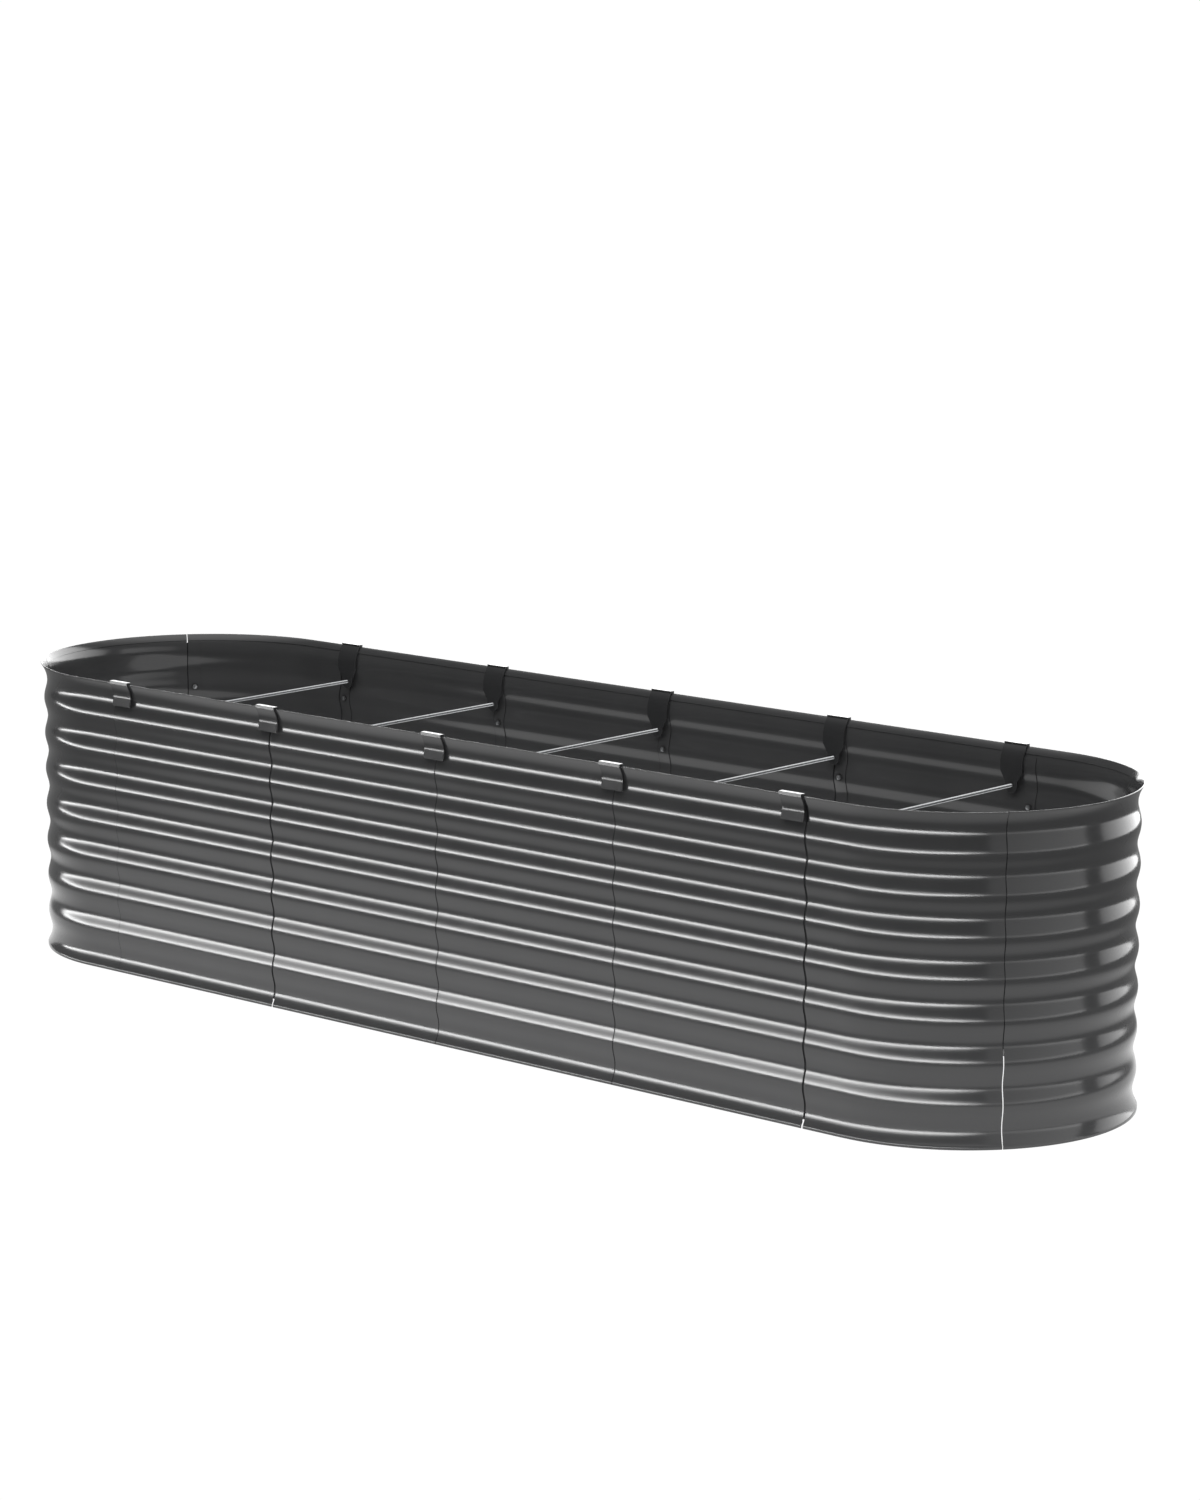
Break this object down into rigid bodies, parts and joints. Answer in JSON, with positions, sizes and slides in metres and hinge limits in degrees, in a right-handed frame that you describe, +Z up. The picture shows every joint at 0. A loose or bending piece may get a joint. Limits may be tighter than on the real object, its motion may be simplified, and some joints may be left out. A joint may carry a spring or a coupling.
{
  "type": "raised garden bed",
  "caption": "Oval raised garden bed of horizontally ribbed coated steel panels, with rim hooks and cross tie rods, open at top and bottom.",
  "frame": {"origin": "on the ground, at the middle of the footprint", "axes": "+X along the bed to its right end, -Y towards the front side, +Z up"},
  "size_m": [2.438, 0.6158, 0.5559],
  "materials": {
    "coated_sheet": "semi-gloss dark grey coating on ribbed galvanised sheet",
    "coated_strap": "semi-gloss dark grey coating on folded strap",
    "zinc_plate": "bright zinc plate"
  },
  "bodies": {
    "root": {"front_panel_1": "coated_sheet", "front_panel_2": "coated_sheet", "front_panel_3": "coated_sheet", "front_panel_4": "coated_sheet", "right_front_corner": "coated_sheet", "right_end_panel": "coated_sheet", "right_back_corner": "coated_sheet", "back_panel_1": "coated_sheet", "back_panel_2": "coated_sheet", "back_panel_3": "coated_sheet", "back_panel_4": "coated_sheet", "left_back_corner": "coated_sheet", "left_end_panel": "coated_sheet", "left_front_corner": "coated_sheet", "front_hook_1": "coated_strap", "front_hook_2": "coated_strap", "front_hook_3": "coated_strap", "front_hook_4": "coated_strap", "front_hook_5": "coated_strap", "back_hook_1": "coated_strap", "back_hook_2": "coated_strap", "back_hook_3": "coated_strap", "back_hook_4": "coated_strap", "back_hook_5": "coated_strap", "tie_rod_1": "zinc_plate", "tie_rod_2": "zinc_plate", "tie_rod_3": "zinc_plate", "tie_rod_4": "zinc_plate", "tie_rod_5": "zinc_plate", "front_nut_1": "zinc_plate", "front_nut_2": "zinc_plate", "front_nut_3": "zinc_plate", "front_nut_4": "zinc_plate", "front_nut_5": "zinc_plate", "back_nut_1": "zinc_plate", "back_nut_2": "zinc_plate", "back_nut_3": "zinc_plate", "back_nut_4": "zinc_plate", "back_nut_5": "zinc_plate"}
  },
  "joints": []
}
